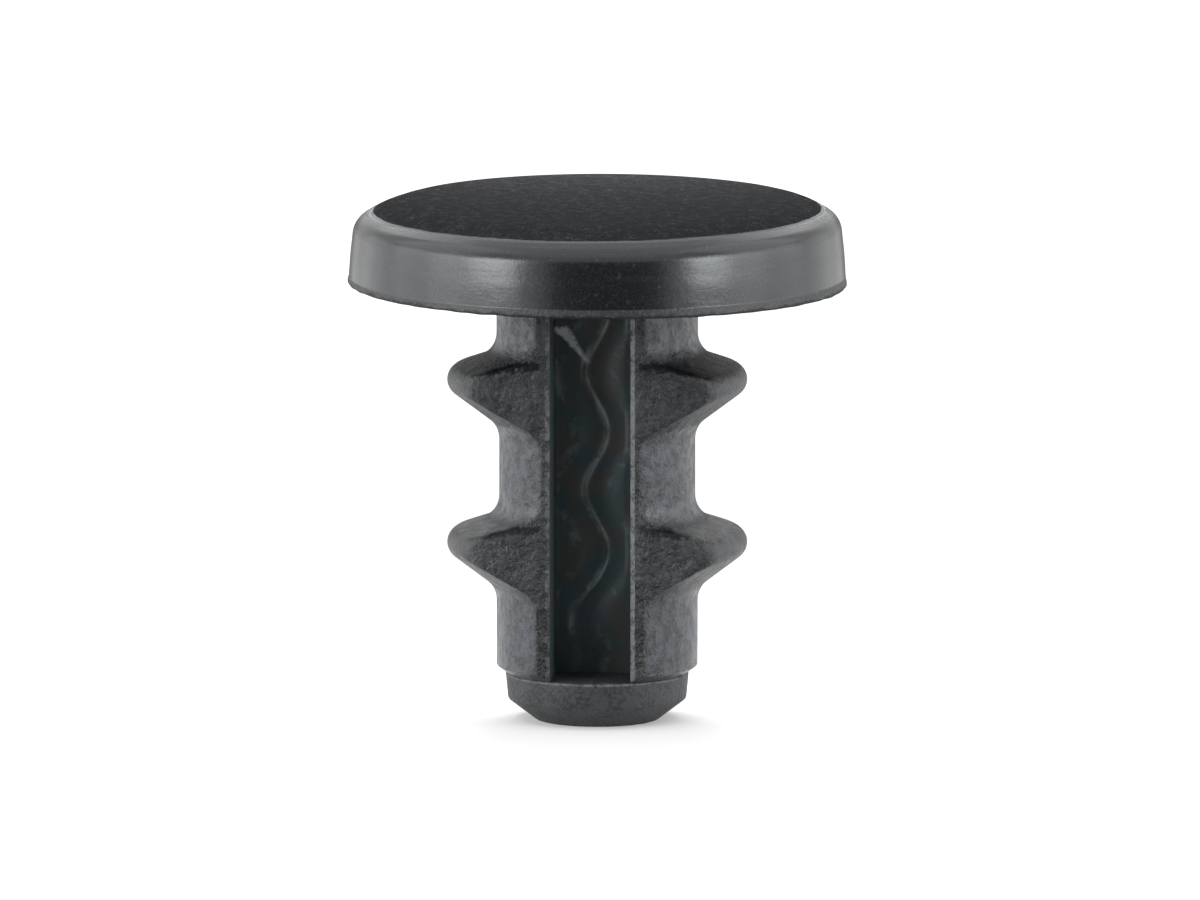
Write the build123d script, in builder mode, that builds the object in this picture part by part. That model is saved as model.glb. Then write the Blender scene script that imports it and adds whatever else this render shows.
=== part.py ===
# Push-in hole plug: one moulded piece with a thin round head and a barbed stem.
# Millimetres, +Z up through the head. The origin is the centre of the head's underside,
# the face that seats on the panel: the head stands above Z = 0 and the stem hangs below it.
import os
from math import radians, sin

from build123d import *

os.makedirs("parts", exist_ok=True)

# Head
headDiameter = 20.0  # over the lip that runs round the bottom edge
headHeight = 3.27
lipWidth = 0.12  # how far the lip stands out from the wall
lipHeight = 0.3
wallDraft = 0.16  # how far the wall leans in from the lip to the shoulder
shoulderDrop = 0.88  # from the flat top down to where the crown meets the wall
crownWidth = 2.67  # across the curved band between the flat top and the shoulder
shoulderRounding = 0.8

# Stem, measured down from the seat
stemLength = 17.64
neckDiameter = 8.0
waistDiameter = 7.84  # between the barbs

# Barbs: a shallow upper face that grips, a round nose, and a steeper face that leads in
barbDiameter = 12.0
barbCount = 2
firstBarb = 2.81  # from the seat down to where the first grip face leaves the stem
barbPitch = 6.55
noseRadius = 0.6
gripSlope = 19.0
leadSlope = 37.0
rootRounding = 1.1  # where the faces run into the stem

# Full round tip below the stem
tipDiameter = 7.34
tipLength = 1.89
tipDraft = 0.1
tipBevelHeight = 0.84
tipBottomDiameter = 4.92
stepHeight = 0.3  # the bevel from the stem down to the tip

# Flats and pockets, alike at the front (-Y) and the back (+Y)
flatSpan = 6.8  # across the two flats
pocketWidth = 3.44
webThickness = 1.0
webRounding = 0.35  # in the corners beside the web
mouthRounding = 0.12  # along the edges of each pocket's mouth

headRadius = headDiameter / 2
wallRadius = headRadius - lipWidth
shoulderRadius = wallRadius - wallDraft
neckRadius = neckDiameter / 2
waistRadius = waistDiameter / 2
tipRadius = tipDiameter / 2
tipTop = tipLength - stemLength

# the nose is a circle inside the barb's diameter, and each face is tangent to it
noseCentre = barbDiameter / 2 - noseRadius
gripReach = noseCentre + noseRadius * sin(radians(gripSlope))
leadReach = noseCentre + noseRadius * sin(radians(leadSlope))
noseTurn = gripSlope + leadSlope - 180

# the stem's radius above, between and below the barbs
stemRadii = [neckRadius] + [waistRadius] * (barbCount - 1) + [neckRadius]

with BuildPart() as hole_plug:
    # head
    with BuildSketch(Plane.XZ) as headSection:
        with BuildLine():
            flatTop = Line((0, headHeight), (shoulderRadius - crownWidth, headHeight))
            shoulder = Vector(shoulderRadius, headHeight - shoulderDrop)
            TangentArc(flatTop @ 1, shoulder, tangent=flatTop % 1)
            Polyline(
                shoulder,
                (wallRadius, lipHeight),
                (headRadius, lipHeight),
                (headRadius, 0),
                (0, 0),
                (0, headHeight),
            )
        make_face()
        fillet(headSection.vertices().filter_by(lambda corner: Vector(corner) == shoulder), shoulderRounding)
    revolve(axis=Axis.Z)

    # stem, barbs and tip
    with BuildSketch(Plane.XZ) as stemSection:
        roots = []
        with BuildLine():
            edge = Line((0, 0), (neckRadius, 0))
            for index in range(barbCount):
                above, below = stemRadii[index : index + 2]
                root = Vector(above, -firstBarb - index * barbPitch)
                Line(edge @ 1, root)
                grip = PolarLine(root, gripReach - above, -gripSlope, length_mode=LengthMode.HORIZONTAL)
                nose = JernArc(grip @ 1, grip % 1, noseRadius, noseTurn)
                edge = PolarLine(nose @ 1, leadReach - below, 180 + leadSlope, length_mode=LengthMode.HORIZONTAL)
                roots += [root, edge @ 1]
            Polyline(
                edge @ 1,
                (neckRadius, tipTop + stepHeight),
                (tipRadius, tipTop),
                (tipRadius - tipDraft, tipBevelHeight - stemLength),
                (tipBottomDiameter / 2, -stemLength),
                (0, -stemLength),
                (0, 0),
            )
        make_face()
        fillet(stemSection.vertices().filter_by(lambda corner: Vector(corner) in roots), rootRounding)
    revolve(axis=Axis.Z)

    # flats and pockets, cut from the seat down to the tip
    with BuildSketch(Plane.XY.offset(tipTop)) as cut:
        with Locations((0, flatSpan / 2)):
            Rectangle(barbDiameter, barbDiameter, align=(Align.CENTER, Align.MIN))
        with Locations((0, webThickness / 2)):
            Rectangle(pocketWidth, barbDiameter / 2, align=(Align.CENTER, Align.MIN))
        fillet(cut.vertices().group_by(Axis.Y)[0], webRounding)
        mouth = cut.vertices().filter_by_position(Axis.X, -pocketWidth / 2, pocketWidth / 2)
        fillet(mouth.filter_by_position(Axis.Y, flatSpan / 2, flatSpan / 2), mouthRounding)
        mirror(about=Plane.XZ)
    extrude(amount=-tipTop, mode=Mode.SUBTRACT)

hole_plug.part.label = "hole_plug"
export_step(hole_plug.part, "parts/hole_plug.step")
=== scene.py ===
import math

import bmesh
import bpy
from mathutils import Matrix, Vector, noise


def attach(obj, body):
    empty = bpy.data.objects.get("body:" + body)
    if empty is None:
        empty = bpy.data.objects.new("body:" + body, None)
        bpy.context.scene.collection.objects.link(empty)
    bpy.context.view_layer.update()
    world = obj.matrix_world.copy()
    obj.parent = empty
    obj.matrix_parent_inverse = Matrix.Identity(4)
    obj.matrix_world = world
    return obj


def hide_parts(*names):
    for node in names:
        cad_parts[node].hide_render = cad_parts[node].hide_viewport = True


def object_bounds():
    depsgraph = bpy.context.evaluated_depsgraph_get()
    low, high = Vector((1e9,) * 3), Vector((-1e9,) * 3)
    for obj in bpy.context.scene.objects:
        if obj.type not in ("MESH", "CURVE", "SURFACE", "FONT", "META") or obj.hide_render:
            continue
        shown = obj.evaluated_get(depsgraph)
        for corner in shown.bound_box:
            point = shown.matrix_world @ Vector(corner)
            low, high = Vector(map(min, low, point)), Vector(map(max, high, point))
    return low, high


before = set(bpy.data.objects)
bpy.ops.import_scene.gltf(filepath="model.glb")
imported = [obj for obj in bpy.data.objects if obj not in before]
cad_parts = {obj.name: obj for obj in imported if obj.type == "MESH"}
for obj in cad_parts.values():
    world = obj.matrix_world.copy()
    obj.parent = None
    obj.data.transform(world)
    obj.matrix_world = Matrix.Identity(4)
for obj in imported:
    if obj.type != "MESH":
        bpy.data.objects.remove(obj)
lowCad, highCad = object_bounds()
mm = 0.001
closest = 1e-4  # in mm, points nearer than this are one
mergeDistance = 0.0005 * mm
sharpAngle = 50  # degrees, a sharper bend than this is an edge
print("frame loaded")


def clamped(value):
    return min(1, max(0, value))


# a list of (radius, height, rounding) corners becomes points along the rounded line
def roundedPath(corners, arcStep):
    path = []
    for i, (radius, height, rounding) in enumerate(corners):
        here = Vector((radius, height))
        if not rounding:
            path.append(here)
            continue
        back = (Vector(corners[i - 1][:2]) - here).normalized()
        ahead = (Vector(corners[i + 1][:2]) - here).normalized()
        turn = math.pi - back.angle(ahead)
        reach = rounding * math.tan(turn / 2)
        centre = here + (back + ahead).normalized() * math.hypot(reach, rounding)
        start, end = here + back * reach - centre, here + ahead * reach - centre
        steps = max(3, round(math.degrees(turn) / arcStep))
        for k in range(steps + 1):
            toStart, toEnd = math.sin((1 - k / steps) * turn), math.sin(k / steps * turn)
            point = centre + (start * toStart + end * toEnd) / math.sin(turn)
            if not path or (path[-1] - point).length > closest:
                path.append(point)
    return path


# no two neighbours further apart than the gap
def divided(path, gap):
    points = [path[0]]
    for here in path[1:]:
        last = points[-1]
        steps = max(1, math.ceil(((here - last).length - closest) / gap))
        points += [last.lerp(here, k / steps) for k in range(1, steps + 1)]
    return points


def newPiece(name, bm):
    mesh = bpy.data.meshes.new(name)
    bm.to_mesh(mesh)
    bm.free()
    piece = bpy.data.objects.new(name, mesh)
    bpy.context.scene.collection.objects.link(piece)
    return piece


head = {
    "turnSteps": 256,
    "arcStep": 5,  # degrees between points on a rounding
    "pointGap": 0.6,
    "rimWobble": 0.03,  # how uneven the thin lip is
    "rimHang": 0.07,  # the lip reaches lower on one side
    "rimLow": 0.2,  # and by this share of it all round
    "rimInner": 9.55,  # what lies further out than this is rim
    "rimTop": 0.3,  # and below this, fading in over the next height
    "rimFade": 0.2,
    "rimFoot": 0.15,  # only what lies below this hangs
    "inwardScales": (9, 31),
    "inwardShares": (0.6, 0.4),
    "hangScale": 14,
    "hangSeed": 4,
    "lean": 0.006,  # the shoulder stands higher on one side
    "leanFoot": 0.5,
    "leanFade": 0.15,  # and the top stays level
    "outline": [
        (0, 3.27, 0),
        (4.0, 3.27, 0),
        (8.5, 3.27, 3.7),  # crown
        (9.74, 2.44, 0.85),  # shoulder
        (9.88, 1.15, 9),
        (9.94, 0.23, 0.2),
        (9.985, 0.1, 0.08),  # lip
        (10.0, 0.02, 0.05),
        (9.97, -0.06, 0.05),
        (9.7, -0.05, 0.05),
        (9.5, 0, 0.05),
        (6.2, 0, 0),
    ],
}


def roughenRim(vert, reach, low):
    outward = Vector((vert.co.x, vert.co.y, 0)) / reach
    wobble = head["rimWobble"] * mm
    uneven = sum(noise.noise(outward * scale) * share
                 for scale, share in zip(head["inwardScales"], head["inwardShares"]))
    vert.co -= outward * (0.5 + 0.5 * uneven) * low * wobble
    if vert.co.z < head["rimFoot"] * mm:
        vert.co.z += noise.noise(outward * head["hangScale"] + Vector((0, 0, head["hangSeed"]))) * wobble
        vert.co.z -= (head["rimLow"] + vert.co.x / reach) * head["rimHang"] * mm


def turnHead(bm):
    path = divided(roundedPath(head["outline"], head["arcStep"]), head["pointGap"])
    verts = [bm.verts.new((p.x * mm, 0, p.y * mm)) for p in path]
    edges = [bm.edges.new(pair) for pair in zip(verts, verts[1:])]
    bmesh.ops.spin(bm, geom=verts + edges, cent=(0, 0, 0), axis=(0, 0, 1), angle=2 * math.pi,
                   steps=head["turnSteps"], use_merge=True)
    bmesh.ops.remove_doubles(bm, verts=bm.verts, dist=mergeDistance)
    for vert in bm.verts:
        reach = math.hypot(vert.co.x, vert.co.y)
        low = clamped((head["rimTop"] - vert.co.z / mm) / head["rimFade"])
        if reach > head["rimInner"] * mm and low > 0:
            roughenRim(vert, reach, low)
        elif vert.co.z > head["leanFoot"] * mm:
            fade = clamped((highCad[2] - vert.co.z) / (head["leanFade"] * mm))
            vert.co.z += head["lean"] * vert.co.x * fade


stem = {
    "flatHalf": 3.4,  # from the axis to each flat
    "pocketHalf": 1.62,
    "webHalf": 0.5,
    "edgeRounding": 0.1,
    "noseRounding": 0.9,  # the flats run softly into the nose of each barb
    "noseRadii": (4.6, 6.0),  # where the nose rounding starts and is full
    "noses": (-4.0, -10.57),
    "noseReach": 1.7,
    "noseCrispness": 0.6,
    "noseFade": 0.5,
    "mouthWidth": 0.18,  # the worn slope along the mouth of each pocket
    "mouthDepth": 0.085,
    "mouthMargin": 0.1,
    "cornerTurn": 0.5,  # degrees from the last point before the side to its first
    "footRounding": 0.12,
    "levelGap": 0.11,
    "stemArcStep": 7,
    "tipArcStep": 12,
    # how many points each stretch of a quarter section has
    "webPoints": 30,
    "wallPoints": 6,
    "mouthPoints": 3,
    "flatPoints": 6,
    "roundingPoints": 4,
    "sidePoints": 22,
    "waveHeight": 0.036,
    "wavePitch": 2.32,
    "waveSway": 0.45,
    "waveRise": 4.8,
    "waveStart": 5.97,
    "webSide": 1.45,  # the waves fade out towards the pocket's sides and foot
    "webSideFade": 0.3,
    "webFoot": -14.6,
    "webFootFade": 0.8,
    "creaseHeight": 0.06,
    "creaseHalf": 0.13,
    "creaseShift": -0.04,
    "creaseDrift": 0.35,  # to one side, below the drift height
    "driftTop": -12,
    "branchPlace": -0.9,  # where the second crease is at the branch height
    "branchHeight": -2.5,
    "branchSlope": 0.74,
    "branchSlant": 0.8,  # from a distance across to one at right angles
    "branchHalf": 0.16,
    "branchStrength": 1.3,
    "branchFoot": -3.1,
    "branchFade": 0.3,
    "outline": [
        (4.03, 0, 0),
        (4.03, -2.81, 1.1),
        (6.0, -3.499, 0.6),
        (6.0, -4.226, 0.6),
        (3.92, -5.793, 1.1),
        (3.92, -9.36, 1.1),
        (6.0, -10.076, 0.6),
        (6.0, -10.803, 0.6),
        (4.02, -12.31, 1.1),
        (4.02, -15.45, 0.06),
        (3.615, -15.75, 0),
    ],
    "tip": [
        (3.4, -15.75, 0),
        (3.67, -15.75, 0.06),
        (3.57, -16.8, 0.2),
        (2.46, -17.64, 0.2),
        (1.6, -17.64, 0),
    ],
}


# how far round its snaking line the web's crease is at a height
def creasePhase(z):
    return 2 * math.pi * (z + stem["waveStart"]) / stem["waveRise"]


# where the crease that snakes down the web is
def creaseAt(z):
    sway = stem["waveSway"] * math.cos(creasePhase(z))
    return sway + stem["creaseShift"] - stem["creaseDrift"] * max(0, stem["driftTop"] - z)


# how far the web leans out at a place across and along it
def webLean(x, z):
    fade = clamped((stem["webSide"] - abs(x)) / stem["webSideFade"])
    fade *= clamped((z - stem["webFoot"]) / stem["webFootFade"])
    wave = stem["waveHeight"] * math.sin(2 * math.pi * (x - creaseAt(z)) / stem["wavePitch"])
    slope = abs(math.sin(creasePhase(z)))
    crease = (0.5 + 0.5 * slope) * math.exp(-((x - creaseAt(z)) / stem["creaseHalf"]) ** 2)
    # a second crease branches off to one side at the top
    branch = x - stem["branchPlace"] + stem["branchSlope"] * (z - stem["branchHeight"])
    branch *= stem["branchSlant"] / stem["branchHalf"]
    branchFade = clamped((z - stem["branchFoot"]) / stem["branchFade"])
    crease += stem["branchStrength"] * math.exp(-branch ** 2) * branchFade
    return (wave + stem["creaseHeight"] * crease) * fade


def arc(centre, radius, first, last, steps):
    angles = [math.radians(first + (last - first) * k / steps) for k in range(steps + 1)]
    return [Vector((centre[0] + radius * math.cos(a), centre[1] + radius * math.sin(a))) for a in angles]


# how round the edge between a flat and the side is
def edgeRounding(radius, z):
    start, full = stem["noseRadii"]
    wide = clamped((radius - start) / (full - start))
    wide *= wide * (3 - 2 * wide)
    for nose in stem["noses"]:
        if nose - stem["noseReach"] < z < nose:  # crisper below the nose
            wide *= 1 - stem["noseCrispness"] * min(1, (nose - z) / stem["noseFade"])
    return stem["edgeRounding"] + (stem["noseRounding"] - stem["edgeRounding"]) * wide


# a quarter of the stem's section, from the middle of the web round to the side
def quarterSection(radius, z, xSign, ySign):
    flat, pocket, web = stem["flatHalf"], stem["pocketHalf"], stem["webHalf"]
    foot, depth = stem["footRounding"], stem["mouthDepth"]
    webPoints, wallPoints = stem["webPoints"], stem["wallPoints"]
    mouthPoints, flatPoints = stem["mouthPoints"], stem["flatPoints"]
    edge = edgeRounding(radius, z)
    inner = [Vector(((pocket - foot) * k / webPoints, web)) for k in range(webPoints)]
    for point in inner:
        point.y += ySign * webLean(xSign * point.x, z)
    inner += arc((pocket - foot, web + foot), foot, -90, 0, stem["roundingPoints"])
    wall = flat - depth - web - foot
    inner += [Vector((pocket, web + foot + wall * k / wallPoints)) for k in range(1, wallPoints)]
    mouth = [k / mouthPoints for k in range(mouthPoints + 1)]
    inner += [Vector((pocket + stem["mouthWidth"] * k, flat - depth * (1 - k))) for k in mouth]
    outside = pocket + stem["mouthWidth"]
    corner = max(outside + stem["mouthMargin"], math.sqrt((radius - edge) ** 2 - (flat - edge) ** 2))
    inner += [Vector((outside + (corner - outside) * k / flatPoints, flat)) for k in range(1, flatPoints)]
    turned = math.degrees(math.atan2(flat - edge, corner))
    inner += arc((corner, flat - edge), edge, 90, turned, stem["roundingPoints"])[:-1]
    # the bevel at the foot cuts the flats away
    for point in inner:
        point.y = min(point.y, math.sqrt(radius ** 2 - point.x ** 2))
    turned = min(turned, math.degrees(math.atan2(inner[-1].y, inner[-1].x)) - stem["cornerTurn"])
    return inner, arc((0, 0), radius, turned, 0, stem["sidePoints"])


# four quarters, each from a function of its two signs, make one closed ring
def fourQuarters(quarterAt, z):
    places = []
    for xSign, ySign in ((1, 1), (1, -1), (-1, -1), (-1, 1)):
        quarter = [(xSign * p.x * mm, ySign * p.y * mm, z * mm) for p in quarterAt(xSign, ySign)]
        places += quarter[:-1] if xSign == ySign else quarter[:0:-1]
    return places


# the whole section at one level, as places
def section(radius, z):
    def quarterAt(xSign, ySign):
        inner, outer = quarterSection(radius, z, xSign, ySign)
        return inner + outer
    return fourQuarters(quarterAt, z)


# the tip is round, with its points under those of the section above
def tipRing(radius, z, top):
    def quarterAt(xSign, ySign):
        inner, outer = quarterSection(top, z, xSign, ySign)
        side = [p for p in inner + outer if p.length > top - closest]
        first = math.degrees(math.atan2(side[0].y, side[0].x))
        front = arc((0, 0), radius, 90, first, len(inner + outer) - len(side))[:-1]
        return front + [p * radius / top for p in side]
    return fourQuarters(quarterAt, z)


def firstRing(bm, places):
    ring = [bm.verts.new(place) for place in places]
    for pair in zip(ring, ring[1:] + ring[:1]):
        bm.edges.new(pair)
    return ring


def ringEdges(bm, ring):
    return [bm.edges.get(pair) for pair in zip(ring, ring[1:] + ring[:1])]


# extrudes a ring and puts the new one at its places
def nextRing(bm, ring, places):
    grown = set(bmesh.ops.extrude_edge_only(bm, edges=ringEdges(bm, ring))["geom"])
    following = []
    for vert in ring:
        following.append(next(e.other_vert(vert) for e in vert.link_edges if e.other_vert(vert) in grown))
    for vert, place in zip(following, places):
        vert.co = place
    return following


def growStem(bm):
    levels = []
    path = roundedPath(stem["outline"], stem["stemArcStep"])
    for last, here in zip(path, path[1:]):
        steps = math.ceil((last.y - here.y) / stem["levelGap"])
        levels += [last.lerp(here, k / steps) for k in range(steps)]
    levels.append(path[-1])
    ring = firstRing(bm, section(levels[0].x, levels[0].y))
    for level in levels[1:]:
        ring = nextRing(bm, ring, section(level.x, level.y))
    tip = roundedPath(stem["tip"], stem["tipArcStep"])[1:]
    top = path[-1].x
    ring = firstRing(bm, tipRing(top, tip[0].y, top))
    for level in tip[1:]:
        ring = nextRing(bm, ring, tipRing(level.x, level.y, top))
    bmesh.ops.edgeloop_fill(bm, edges=ringEdges(bm, ring))
    bmesh.ops.remove_doubles(bm, verts=bm.verts, dist=mergeDistance)


# closes what is still open at one height
def fillLevel(bm, z):
    def atHeight(vert):
        return abs(vert.co.z - z * mm) < mergeDistance
    rim = [e for e in bm.edges if e.is_boundary and all(atHeight(v) for v in e.verts)]
    bmesh.ops.triangle_fill(bm, use_beauty=True, use_dissolve=False, edges=rim)
    print("filled", z, len(rim))


bm = bmesh.new()
turnHead(bm)
growStem(bm)
fillLevel(bm, stem["outline"][0][1])
fillLevel(bm, stem["outline"][-1][1])
bmesh.ops.recalc_face_normals(bm, faces=bm.faces)
openEdges = sum(1 for e in bm.edges if len(e.link_faces) != 2)
print("open edges", openEdges, "volume", round(bm.calc_volume() / mm ** 3, 1))
body = newPiece("hole_plug_body", bm)
for face in body.data.polygons:
    face.use_smooth = True
body.data.set_sharp_from_angle(angle=math.radians(sharpAngle))
weighted = body.modifiers.new("weighted", "WEIGHTED_NORMAL")
weighted.keep_sharp = True
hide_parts("hole_plug")
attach(body, "root")
print("plug body", len(body.data.polygons), "faces")


# a socket that can stand in a Python expression
class Wire:
    def __init__(self, board, socket):
        self.board, self.socket = board, socket

    def __add__(self, other):
        return self.board.maths("ADD", self, other)

    def __sub__(self, other):
        return self.board.maths("SUBTRACT", self, other)

    def __mul__(self, other):
        return self.board.maths("MULTIPLY", self, other)

    def __pow__(self, other):
        return self.board.maths("POWER", self, other)

    def __rsub__(self, other):
        return self.board.maths("SUBTRACT", other, self)

    def __abs__(self):
        return self.board.maths("ABSOLUTE", self)

    __radd__, __rmul__ = __add__, __mul__


# the node tree of one material or world
class Board:
    def __init__(self, owner):
        owner.use_nodes = True
        self.tree = owner.node_tree
        self.tree.nodes.clear()

    def node(self, kind, settings=None, inputs=None, output=0):
        made = self.tree.nodes.new("ShaderNode" + kind)
        for name, value in (settings or {}).items():
            setattr(made, name, value)
        for name, value in (inputs or {}).items():
            if isinstance(value, Wire):
                self.tree.links.new(value.socket, made.inputs[name])
            else:
                made.inputs[name].default_value = value
        return Wire(self, made.outputs[output]) if len(made.outputs) else None

    def maths(self, operation, *values):
        return self.node("Math", {"operation": operation}, dict(enumerate(values)))

    # 0 below low, 1 above high, smooth between
    def ramp(self, value, low, high):
        return self.node("MapRange", {"interpolation_type": "SMOOTHSTEP"},
                         {"Value": value, "From Min": low, "From Max": high})

    # comes in over the first two values and goes out over the last two
    def band(self, value, begin, full, fading, end):
        return self.ramp(value, begin, full) * (1 - self.ramp(value, fading, end))

    def mixColour(self, factor, first, second):
        pair = [c if isinstance(c, Wire) else (*c, 1) for c in (first, second)]
        return self.node("Mix", {"data_type": "RGBA"}, {0: factor, 6: pair[0], 7: pair[1]}, 2)

    def noise(self, place, scale, detail, roughness, distortion):
        return self.node("TexNoise", None, {"Vector": place, "Scale": scale, "Detail": detail,
                                            "Roughness": roughness, "Distortion": distortion})


plastic = {
    "deep": (0.0085, 0.0088, 0.0095),
    "dusty": (0.0485, 0.050, 0.052),
    # dust on the necks, tinted bluish as a painted sheen
    "bluishDustAndSheen": (0.036, 0.048, 0.066),
    # the tint of real wear on the tip edge and the veins on the flats, and of the painted highlights on
    # the crest and pocket mouths
    "wornAndHighlightTint": (0.115, 0.12, 0.125),
    "pocket": (0.055, 0.056, 0.054),
    "teal": (0.039, 0.060, 0.066),
    # painted sheen in patches on the web
    "paintedSheen": (0.088, 0.11, 0.12),
    # the colour of the painted highlight along the web's creases and of the bright wedge where they
    # branch
    "creaseLightTint": (0.34, 0.36, 0.375),
    "glossTint": (0.93, 0.975, 1.0, 1),
    "coatRoughness": 0.3,
    "mattRoughness": 0.8,
    # scale, detail, roughness and distortion
    "noises": {
        "grain": (7.5, 2, 0.6, 0),
        "mottle": (1.1, 4, 0.62, 0),
        "cloud": (2.1, 5, 0.7, 0),
        "fleck": (15, 1, 0.5, 0),
        "speck": (5, 0, 0.5, 0),
        "streaks": (0.9, 5, 0.75, 0.3),
        "drawn": (0.9, 4, 0.65, 0.2),
        "hazePatches": (0.9, 4, 0.7, 0),
        "tealPatches": (0.6, 3, 0.6, 0),
    },
    "streaksTurned": (0.3, 0.5, 0),
    "streaksStretched": (3.4, 3.4, 1.5),
    "drawnStretched": (0.5, 0.5, 3.2),
    # shares of the noises in each blend
    "blends": {
        "fineDust": {"fleck": 0.5, "grain": 0.5},
        "stemDust": {"mottle": 0.3, "streaks": 0.25, "cloud": 0.45},
        "tipDust": {"mottle": 0.45, "grain": 0.55},
        "tipWear": {"cloud": 0.5, "grain": 0.5},
        "gripPatches": {"mottle": 0.4, "cloud": 0.6},
        "neckSheen": {"cloud": 0.6, "streaks": 0.4},
    },
    # a coordinate made uneven by a noise, and by how many mm
    "unevenEdges": {
        "topEdge": ("radius", "mottle", 0.1),
        "lipEdge": ("radius", "grain", 0.05),
        "neckEdge": ("radius", "cloud", 0.7),
        "branchEdge": ("z", "cloud", 0.8),
        "footEdge": ("leaning", "cloud", 0.6),
    },
    # a coordinate, and where along it a mask is 0 and 1
    "zones": {
        "head": ("z", -0.2, -0.16),
        "outsideTop": ("topEdge", 8.92, 8.98),
        "lip": ("lipEdge", 9.89, 9.94),
        "aboveLip": ("z", 0.22, 0.3),
        "lipFoot": ("radius", 9.8, 9.86),
        "aboveLipFoot": ("footEdge", 0.025, 0.075),
        "aboveTip": ("z", -15.76, -15.72),
        "besidePocket": ("acrossX", 1.66, 1.76),
        "beforePocket": ("acrossY", 3.2, 3.38),
        "beforeWeb": ("acrossY", 1.0, 1.2),
        "flats": ("acrossY", 3.28, 3.38),
        "upperFlats": ("z", -8, -6),
        "outsideNecks": ("neckEdge", 4.15, 4.3),
        "walls": ("acrossX", 1.4, 1.5),
        "mouthFront": ("acrossY", 3.28, 3.33),
        "besideMouth": ("acrossX", 1.78, 1.82),
        "rightSide": ("x", 0, 1),
        "barbs": ("radius", 4.1, 4.4),
        "gripFront": ("acrossY", 2.9, 3.3),
        "besideGrips": ("acrossX", 3.8, 4.8),
        "gripInside": ("acrossX", 1.8, 2.1),
        "aboveCreaseFoot": ("z", -14.4, -13.6),
        "aboveBranchFoot": ("z", -3.3, -2.9),
        "branchWidens": ("z", -2.7, -1.9),
        "aboveBranch": ("branchEdge", -1.95, -1.65),
        "tipRim": ("radius", 3.48, 3.56),
        "tipRimHeight": ("z", -15.86, -15.8),
    },
    # a noise, where it starts to show and shows fully, and how strongly
    "marks": {
        "wallSpecks": ("speck", 0.74, 0.8, 0.3),
        "wallDust": ("fineDust", 0.47, 0.62, 0.15),
        "wallDrawn": ("drawn", 0.5, 0.62, 0.07),
        "topClouds": ("cloud", 0.4, 0.7, 0.7),
        "topGrain": ("grain", 0.42, 0.62, 1),
        "topFlecks": ("fleck", 0.6, 0.72, 0.4),
        "lipDust": ("grain", 0.4, 0.65, 0.24),
        "stemDust": ("stemDust", 0.43, 0.61, 1.3),
        "tipDust": ("tipDust", 0.4, 0.66, 1.1),
        "tipWear": ("tipWear", 0.38, 0.55, 1),
        "mouthWearAndHighlight": ("cloud", 0.46, 0.62, 0.8),
        "rightMouthHighlight": ("cloud", 0.34, 0.5, 0.9),
        "veinPatches": ("mottle", 0.48, 0.6, 0.4),
        "gripPatches": ("gripPatches", 0.36, 0.46, 1),
        "creasePatches": ("mottle", 0.44, 0.58, 1.2),
        "paintedCreaseSheen": ("mottle", 0.4, 0.6, 0.35),
        "paintedSheen": ("hazePatches", 0.48, 0.64, 1),
        "teal": ("tealPatches", 0.42, 0.56, 1),
        "neckSheen": ("neckSheen", 0.42, 0.58, 0.58),
    },
    # a noise that breaks up a layer, the least of it and how much the noise adds
    "broken": {
        "stemDust": ("grain", 0.1, 1.2),
        "creaseHighlightAndWedge": ("cloud", 0.4, 1.2),
        "wearAndHighlights": ("grain", 0.4, 0.8),
    },
    # dust that lies everywhere on a part of the plug
    "topDust": 0.34,
    "lipDust": 0.02,
    "stemDust": 0.12,
    "tipDust": 0.45,
    # how much darker the stem is on its flats, necks and ledges, with less of its dust there; this is
    # painted shade on the ledges and partly on the flats
    "flatsDarkened": 0.6,
    "necksDarkened": 0.4,
    "ledgesDarkened": 0.6,
    "crestBand": (8.95, 9.01, 9.02, 9.15),  # a painted highlight line round the grained top
    # a dull band of painted shade on the upper edge of each barb and a painted shadow line under it, by
    # the depth below that edge
    "barbTops": ((-2.81, 1.0), (-9.39, 0.7)),  # height and strength
    "ledgeSlope": 0.35,
    "ledgeBand": (-0.35, -0.15, -0.05, 0.1),
    "ledgeClouds": 0.5,
    "gripSlope": 0.15,
    "gripBand": (-0.04, 0.06, 0.26, 0.4),
    "gripClouds": 0.6,
    "gripGrain": 0.3,
    "lipSlope": 0.007,  # the lip's foot follows its lean
    # painted highlight along the creases of the web
    "creaseReach": (0, 0.19),
    "creaseHighlightBase": 0.35,
    "creaseFlat": 0.25,  # where it runs straight down
    "creaseSlanting": 0.85,
    "creaseStrength": 0.18,
    "branchNarrow": 0.1,
    "branchWide": 0.2,
    "branchClouds": 0.5,
    "branchReach": (-0.12, 0.14),
    "branchStrength": 1.35,
    "paintedSheenAway": 1.16,  # how far beside the crease the patches of painted sheen lie
    "paintedSheenReach": (0, 0.42),
    "paintedCreaseSheenReach": (0.05, 0.35),
    "veinReach": (0, 0.022),
    # roughness of each part, and how much the noises change it
    "rimRoughness": 0.24,
    "lipRougher": 0.25,
    "crestRougher": 0.3,
    "stemRoughness": 0.4,
    "stemStreaks": 0.3,
    "stemClouds": 0.7,
    "flatsSmoother": 0.3,
    "pocketRoughness": 0.25,
    "tipRoughness": 0.5,
    "mottling": 0.08,
    # how much of the matt finish each part has
    "matt": {"crest": 0.6, "lip": 0.12, "lipFoot": 0.5, "walls": 0.9, "flats": 0.08, "upperFlats": 0.17,
             "ledges": 0.35, "grips": 0.9, "tip": 0.4},
    # how strongly each noise stands up on each part
    "bump": {"topClouds": 3.5, "stemGrain": 0.9, "grainAllOver": 0.1, "stemStreaks": 1.2,
             "stemClouds": 4.6, "headMottle": 0.3, "headDrawn": 0.22},
    "bumpStrength": 0.8,
    "bumpHeight": 0.04,
}


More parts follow.
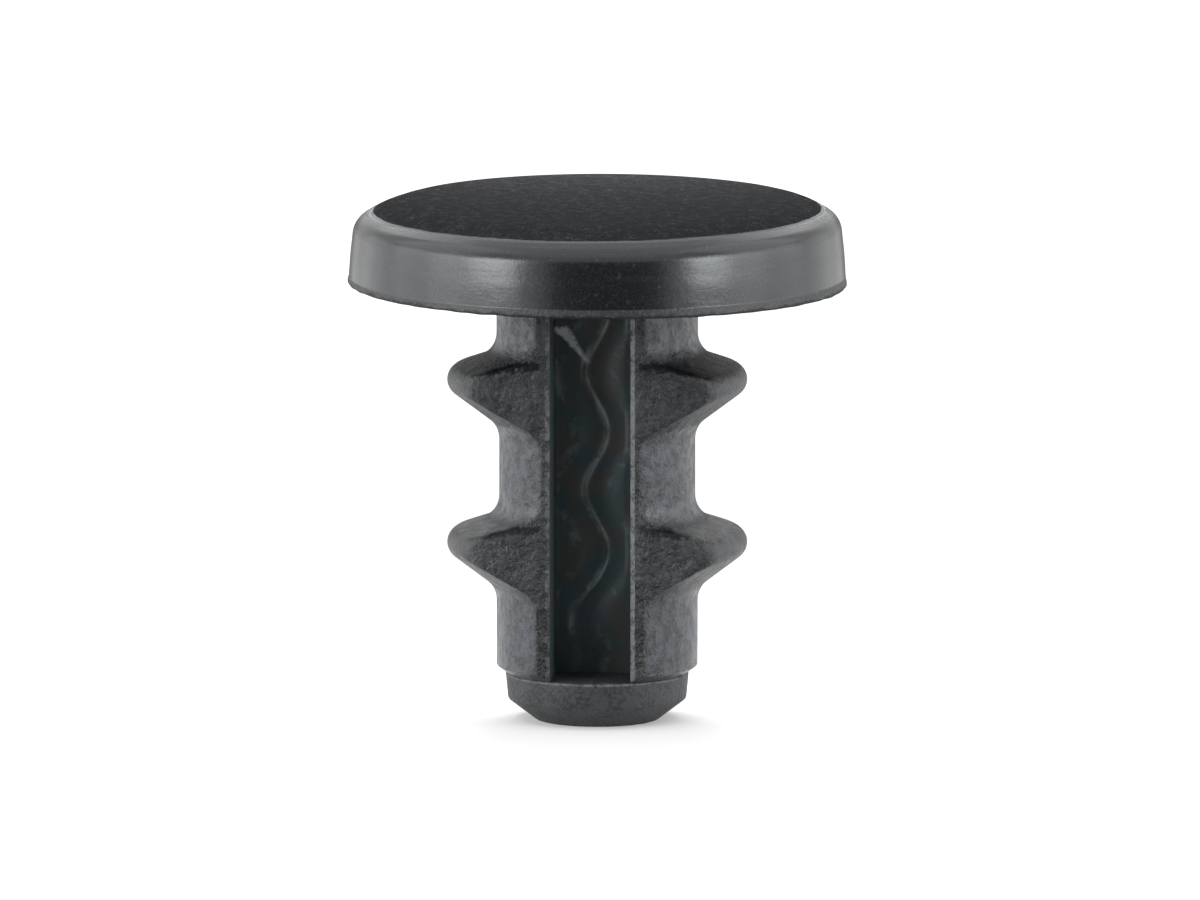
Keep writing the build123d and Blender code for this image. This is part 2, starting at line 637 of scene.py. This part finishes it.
# the coordinates and noises of the plastic, and the masks made from them
class Skin:
    def __init__(self, board):
        self.board = board
        place = board.node("VectorMath", {"operation": "SCALE"},
                           {0: board.node("TexCoord", output=3), "Scale": 1 / mm})
        axes = board.node("SeparateXYZ", None, {0: place}).socket.node.outputs
        x, y, z = [Wire(board, axis) for axis in axes]
        self.at = {"x": x, "z": z, "radius": (x * x + y * y) ** 0.5, "acrossX": abs(x), "acrossY": abs(y),
                   "leaning": z + x * plastic["lipSlope"]}
        stretched = {
            "streaks": board.node("Mapping", None, {"Vector": place, "Rotation": plastic["streaksTurned"],
                                                    "Scale": plastic["streaksStretched"]}),
            "drawn": board.node("Mapping", None, {"Vector": place, "Scale": plastic["drawnStretched"]}),
        }
        self.noises = {name: board.noise(stretched.get(name, place), *settings)
                       for name, settings in plastic["noises"].items()}
        for name, (along, noiseName, amount) in plastic["unevenEdges"].items():
            self.at[name] = self.at[along] + self.swing(noiseName, amount)
        for name, shares in plastic["blends"].items():
            self.noises[name] = sum(self.noises[part] * share for part, share in shares.items())

    # a noise that swings to both sides of nothing
    def swing(self, noiseName, amount):
        return (self.noises[noiseName] - 0.5) * amount

    def zone(self, name):
        along, begin, full = plastic["zones"][name]
        return self.board.ramp(self.at[along], begin, full)

    def mark(self, name):
        noiseName, begin, full, strength = plastic["marks"][name]
        return self.board.ramp(self.noises[noiseName], begin, full) * strength

    def broken(self, name):
        noiseName, least, more = plastic["broken"][name]
        return least + self.noises[noiseName] * more


def plugMasks(skin):
    head = skin.zone("head")
    top = head * (1 - skin.zone("outsideTop"))
    tip = 1 - skin.zone("aboveTip")
    wholeStem = (1 - head) * (1 - tip)
    pocket = wholeStem * (1 - skin.zone("besidePocket")) * (1 - skin.zone("beforePocket"))
    barrel = wholeStem * (1 - pocket)
    flats = skin.zone("flats")
    ledges, grips = barbMasks(skin)
    return {
        "head": head,
        "top": top,
        "crest": skin.board.band(skin.at["topEdge"], *plastic["crestBand"]) * head,
        "lip": head * skin.zone("lip") * (1 - skin.zone("aboveLip")),
        "lipFoot": head * skin.zone("lipFoot") * (1 - skin.zone("aboveLipFoot")),
        "tip": tip,
        "pocket": pocket,
        "web": pocket * (1 - skin.zone("beforeWeb")),
        "walls": pocket * skin.zone("walls"),
        "mouth": wholeStem * skin.zone("mouthFront") * (1 - skin.zone("besideMouth")),
        "barrel": barrel,
        "flats": flats,
        "necks": barrel * (1 - skin.zone("outsideNecks")) * (1 - flats),
        "ledges": ledges * skin.zone("barbs") * (1 - head),
        "grips": grips * (1 - head),
    }


# by how far down a place is from the upper edge of each barb: the ledges and grip bands that take painted
# shade
def barbMasks(skin):
    ledges, grips = 0, 0
    z, out = skin.at["z"], skin.at["radius"] - stem["outline"][0][0]
    for barbTop, strength in plastic["barbTops"]:
        depth = barbTop - out * plastic["ledgeSlope"] - z
        depth += skin.swing("cloud", plastic["ledgeClouds"])
        ledges += skin.board.band(depth, *plastic["ledgeBand"])
        depth = barbTop - out * plastic["gripSlope"] - z
        depth += skin.swing("cloud", plastic["gripClouds"])
        depth += skin.swing("grain", plastic["gripGrain"])
        grips += skin.board.band(depth, *plastic["gripBand"]) * strength
    grips *= skin.zone("gripFront") * (1 - skin.zone("besideGrips")) * skin.zone("gripInside")
    return ledges, grips * skin.mark("gripPatches")


# painted highlight along the web's creases, a bright wedge where a second crease branches off, and
# patches of painted sheen beside them
def creaseLightAndSheen(skin, web):
    board, x, z = skin.board, skin.at["x"], skin.at["z"]
    phase = (z + stem["waveStart"]) * (2 * math.pi / stem["waveRise"])
    sway, slope = board.maths("COSINE", phase), abs(board.maths("SINE", phase))
    drift = board.maths("MAXIMUM", stem["driftTop"] - z, 0) * stem["creaseDrift"]
    away = abs(x - sway * stem["waveSway"] - stem["creaseShift"] + drift)
    # the painted highlight along the crease, stronger where it slants
    crease = (1 - board.ramp(away, *plastic["creaseReach"])) * skin.zone("aboveCreaseFoot")
    crease *= plastic["creaseHighlightBase"] + skin.mark("creasePatches")
    crease *= plastic["creaseFlat"] + slope * plastic["creaseSlanting"]

    fromBranch = abs(x - stem["branchPlace"] + (z - stem["branchHeight"]) * stem["branchSlope"])
    half = plastic["branchNarrow"] + skin.zone("branchWidens") * plastic["branchWide"]
    half += skin.swing("cloud", plastic["branchClouds"])
    branch = board.ramp(half - fromBranch, *plastic["branchReach"])
    branch *= skin.zone("aboveBranchFoot") * (1 - skin.zone("aboveBranch"))

    # patches of painted sheen beside the crease, and softly round it
    paintedSheen = (1 - board.ramp(abs(away - plastic["paintedSheenAway"]), *plastic["paintedSheenReach"])) * skin.mark("paintedSheen")
    paintedSheen += (1 - board.ramp(away, *plastic["paintedCreaseSheenReach"])) * skin.mark("paintedCreaseSheen")
    return web * (branch * plastic["branchStrength"] + crease * plastic["creaseStrength"]), web * paintedSheen


def dustAndPaintedShadeOn(skin, masks):
    wall = skin.mark("wallSpecks") + skin.mark("wallDust") + skin.mark("wallDrawn")
    wall *= masks["head"] - masks["top"]
    clouds = skin.mark("topClouds") * skin.mark("topGrain")
    top = masks["top"] * (plastic["topDust"] + clouds + skin.mark("topFlecks"))
    lip = masks["lip"] * (plastic["lipDust"] + skin.mark("lipDust")) * (1 - masks["lipFoot"])
    barrel = masks["barrel"] * (plastic["stemDust"] + skin.mark("stemDust")) * skin.broken("stemDust")
    # less dust on the ledges and flats and none on the grip bands: painted shade on the ledges and grips,
    # partly on the flats
    for part in ("flats", "necks", "ledges"):
        barrel *= 1 - masks[part] * plastic[part + "Darkened"]
    tip = masks["tip"] * (plastic["tipDust"] + skin.mark("tipDust"))
    return wall + top + lip + barrel * (1 - masks["grips"]) + tip


# worn mouths of the pockets with a painted highlight, brighter on the right one, the edge of the tip, and
# faint veins on the flats
def scuffsAndHighlightsOn(skin, masks):
    # wear and painted highlight along both mouths, and more painted highlight on the right one
    mouth = skin.mark("mouthWearAndHighlight") + skin.zone("rightSide") * skin.mark("rightMouthHighlight")
    mouth *= masks["mouth"]
    tipRim = masks["tip"] * skin.zone("tipRim") * skin.zone("tipRimHeight") * skin.mark("tipWear")
    vein = 1 - skin.board.ramp(abs(skin.noises["streaks"] - 0.5), *plastic["veinReach"])
    return mouth + tipRim + masks["flats"] * masks["barrel"] * vein * skin.mark("veinPatches")


def roughnessOf(skin, masks):
    barrel = plastic["stemRoughness"] + skin.swing("streaks", plastic["stemStreaks"])
    barrel += skin.swing("cloud", plastic["stemClouds"])
    barrel *= masks["barrel"] * (1 - masks["flats"] * plastic["flatsSmoother"])
    total = masks["head"] * plastic["rimRoughness"] + barrel
    total += masks["pocket"] * plastic["pocketRoughness"] + masks["tip"] * plastic["tipRoughness"]
    total += masks["lip"] * plastic["lipRougher"] + masks["crest"] * plastic["crestRougher"]
    return total + skin.swing("mottle", plastic["mottling"])


def bumpOf(skin, masks):
    bump, noises = plastic["bump"], skin.noises
    top = masks["top"] * (noises["grain"] + noises["cloud"] * bump["topClouds"])
    grain = masks["barrel"] * bump["stemGrain"] + masks["tip"] + masks["lip"] + bump["grainAllOver"]
    grain *= noises["grain"]
    barrel = noises["streaks"] * bump["stemStreaks"] + noises["cloud"] * bump["stemClouds"]
    barrel *= masks["barrel"]
    mottle = noises["mottle"] * (masks["barrel"] + masks["head"] * bump["headMottle"])
    return top + grain + barrel + mottle + noises["drawn"] * bump["headDrawn"] * masks["head"]


# how much of the surface is matt rather than satin
def mattShare(skin, masks):
    matt = plastic["matt"]
    flats = masks["flats"] * masks["barrel"] * (1 - masks["grips"])
    flats *= matt["flats"] + skin.zone("upperFlats") * matt["upperFlats"]
    lip = masks["lip"] * (1 - masks["lipFoot"]) * matt["lip"]
    parts = [masks[part] * matt[part] for part in ("crest", "tip", "lipFoot", "ledges", "grips", "walls")]
    return masks["top"] + flats + lip + sum(parts)


def plasticMaterial():
    look = bpy.data.materials.new("blackPlastic")
    board = Board(look)
    skin = Skin(board)
    masks = plugMasks(skin)
    creaseHighlightAndWedge, paintedSheen = creaseLightAndSheen(skin, masks["web"])
    # the necks' dust is tinted bluish, a painted sheen
    dustAndNeckSheen = board.mixColour(masks["necks"], plastic["dusty"], plastic["bluishDustAndSheen"])
    colour = board.mixColour(dustAndPaintedShadeOn(skin, masks), plastic["deep"], dustAndNeckSheen)
    inPocket = board.mixColour(skin.mark("teal"), plastic["pocket"], plastic["teal"])
    colour = board.mixColour(masks["pocket"], colour, inPocket)
    # painted sheen in patches on the web
    colour = board.mixColour(paintedSheen, colour, plastic["paintedSheen"])
    # painted highlight along the web's creases, and a bright wedge where they branch
    colour = board.mixColour(creaseHighlightAndWedge * skin.broken("creaseHighlightAndWedge"), colour, plastic["creaseLightTint"])
    # a painted highlight line on the crest, wear and painted highlight on the pocket mouths, the worn tip
    # edge and veins
    wearAndHighlights = (masks["crest"] + scuffsAndHighlightsOn(skin, masks)) * skin.broken("wearAndHighlights")
    colour = board.mixColour(wearAndHighlights, colour, plastic["wornAndHighlightTint"])
    normal = board.node("Bump", None, {
        "Strength": plastic["bumpStrength"], "Distance": plastic["bumpHeight"] * mm,
        "Height": bumpOf(skin, masks)})
    satin = board.node("BsdfPrincipled", None, {
        "Base Color": colour, "Roughness": roughnessOf(skin, masks), "Normal": normal,
        "Specular Tint": plastic["glossTint"], "Coat Weight": masks["necks"] * skin.mark("neckSheen"),
        "Coat Roughness": plastic["coatRoughness"]})
    matt = board.node("BsdfPrincipled", None, {
        "Base Color": colour, "Roughness": plastic["mattRoughness"], "Normal": normal,
        "Specular IOR Level": 0.0})
    surface = board.node("MixShader", None, {0: mattShare(skin, masks), 1: satin, 2: matt})
    board.node("OutputMaterial", None, {0: surface})
    return look


body.data.materials.append(plasticMaterial())
print("plastic made")

floorHeight = lowCad[2]
cardFoot = floorHeight + 0.2 * mm  # just above the floor
view = {
    "azimuth": 5.0,
    "elevation": 8.5,
    "distance": 1.6,
    "frameWidth": 48.0,  # in mm, as the next two are
    "across": 0.11,
    "aimHeight": -6.81,
}
studio = {
    "floorColour": 0.8,
    "floorReach": 3.0,
    "floorLift": 0.16,  # how bright the floor itself looks near the plug, and far off
    "farLift": 0.8,
    "liftFrom": 0.03,
    "liftTo": 0.16,
    "worldLevel": 0.35,
    "boxDistance": 0.12,
    # azimuth from the camera, width in degrees, foot, height and level
    "boxes": [
        (-48.5, 23, 0.003, 0.05, 9.6),
        (-48.5, 23, -0.0175, 0.02, 1.0),
        (51.5, 18, 0.003, 0.05, 9.6),
        (51.5, 18, -0.0175, 0.02, 0.2),
        (-72, 22, 0.003, 0.05, 4.3),
        (-72, 22, -0.0175, 0.02, 2.5),
        (72, 22, 0.003, 0.05, 3.6),
        (72, 22, -0.0175, 0.02, 1.7),
        (-96, 24, 0.003, 0.05, 2.3),
        (-96, 24, -0.0175, 0.02, 1.6),
        (96, 24, 0.003, 0.05, 1.9),
        (96, 24, -0.0175, 0.02, 1.2),
        (-124, 26, -0.0175, 0.06, 0.8),
        (124, 26, -0.0175, 0.06, 0.6),
    ],
    # name, azimuth, distance, height, width, depth, level and the height it is aimed at
    "lamps": [
        ("high-1", -95, 0.085, 0.085, 0.1, 0.08, 1.3, 0),
        ("high1", 95, 0.085, 0.085, 0.1, 0.08, 1.3, 0),
        ("overhead", 0, 0.02, 0.12, 0.14, 0.16, 0.5, 0),
        ("behind", 180, 0.09, 0.085, 0.14, 0.07, 1.0, 0),
        ("near", 180, 0.016, 0.0095, 0.024, 0.008, 14.0, -0.002),
    ],
    # name, level, and the two azimuths, distance and height of its lower and of its upper edge
    "cards": [
        ("frontCard", 0, (-22, 31, 0.11, cardFoot), (-22, 31, 0.11, 0.04)),
        ("floorCard", 0, (-22, 22, 0.11, cardFoot), (-50, 50, 0.006, cardFoot)),
        ("backCard", 0.3, (155, -155, 0.1, cardFoot), (155, -155, 0.1, 0.012)),
        ("backFloorCard", 0, (160, -160, 0.1, cardFoot), (150, -150, 0.01, cardFoot)),
    ],
}


def around(azimuth, distance, height):
    angle = math.radians(azimuth + view["azimuth"])
    return Vector((distance * math.sin(angle), -distance * math.cos(angle), height))


def panel(name, corners):
    bm = bmesh.new()
    bmesh.ops.create_grid(bm, x_segments=1, y_segments=1, size=1)
    for vert, corner in zip(sorted(bm.verts, key=lambda v: (v.co.y, v.co.x)), corners):
        vert.co = corner
    return newPiece(name, bm)


# 1 where the camera, a reflection or glass looks at it, 0 where it lights the part
def lookedAt(board):
    rays = ("Is Camera Ray", "Is Glossy Ray", "Is Transmission Ray")
    direct, glossy, glass = [board.node("LightPath", output=ray) for ray in rays]
    return board.maths("MAXIMUM", board.maths("MAXIMUM", direct, glossy), glass)


def paleFloor():
    reach = studio["floorReach"]
    floor = panel("floor", [(x, y, floorHeight) for y in (-reach, reach) for x in (-reach, reach)])
    pale = bpy.data.materials.new("paleFloor")
    board = Board(pale)
    matte = board.node("BsdfDiffuse", None, {"Color": (studio["floorColour"],) * 3 + (1,)})
    distance = board.node("VectorMath", {"operation": "LENGTH"}, {0: board.node("TexCoord", output=3)}, 1)
    far = board.ramp(distance, studio["liftFrom"], studio["liftTo"])
    lift = studio["floorLift"] + far * (studio["farLift"] - studio["floorLift"])
    glow = board.node("Emission", None, {"Strength": lookedAt(board) * lift})
    board.node("OutputMaterial", None, {0: board.node("AddShader", None, {0: matte, 1: glow})})
    floor.data.materials.append(pale)


def studioWorld():
    world = bpy.data.worlds.new("studio")
    board = Board(world)
    level = studio["worldLevel"] + lookedAt(board) * (1 - studio["worldLevel"])
    white = board.node("Background", None, {"Color": (1, 1, 1, 1), "Strength": level})
    board.node("OutputWorld", None, {0: white})
    bpy.context.scene.world = world


def softbox(name, azimuth, distance, height, width, tall, level, aimHeight):
    data = bpy.data.lights.new(name, "AREA")
    data.shape = "RECTANGLE"
    data.size, data.size_y = width, tall
    data.energy = level * math.pi * width * tall
    lamp = bpy.data.objects.new(name, data)
    lamp.location = around(azimuth, distance, height)
    lamp.rotation_euler = (Vector((0, 0, aimHeight)) - lamp.location).to_track_quat("-Z", "Y").to_euler()
    bpy.context.scene.collection.objects.link(lamp)


# a dark or grey card that only reflections see
def reflectedCard(name, level, *edges):
    corners = [around(azimuth, distance, height)
               for first, second, distance, height in edges for azimuth in (first, second)]
    card = panel(name, corners)
    look = bpy.data.materials.new(name)
    board = Board(look)
    board.node("OutputMaterial", None, {0: board.node("Emission", None, {"Strength": level})})
    card.data.materials.append(look)
    card.visible_camera = card.visible_diffuse = card.visible_shadow = card.visible_transmission = False


paleFloor()
studioWorld()
for i, (azimuth, width, foot, tall, level) in enumerate(studio["boxes"]):
    wide = 2 * studio["boxDistance"] * math.tan(math.radians(width / 2))
    middle = foot + tall / 2
    softbox(f"box{i}", azimuth, studio["boxDistance"], middle, wide, tall, level, middle)
for lamp in studio["lamps"]:
    softbox(*lamp)
for card in studio["cards"]:
    reflectedCard(*card)
print("studio lit")

azimuth, elevation = math.radians(view["azimuth"]), math.radians(view["elevation"])
back = Vector((math.sin(azimuth) * math.cos(elevation),
               -math.cos(azimuth) * math.cos(elevation), math.sin(elevation)))
right = Vector((math.cos(azimuth), math.sin(azimuth), 0))
camera = bpy.data.objects.new("camera", bpy.data.cameras.new("camera"))
aim = Vector((0, 0, view["aimHeight"] * mm)) + right * (view["across"] * mm)
camera.location = aim + back * view["distance"]
camera.rotation_euler = back.to_track_quat("Z", "Y").to_euler()
camera.data.lens = camera.data.sensor_width * view["distance"] / (view["frameWidth"] * mm)
camera.data.clip_end = 10
bpy.context.scene.collection.objects.link(camera)
bpy.context.scene.camera = camera
bpy.context.scene.view_settings.view_transform = "Standard"
print("camera placed")
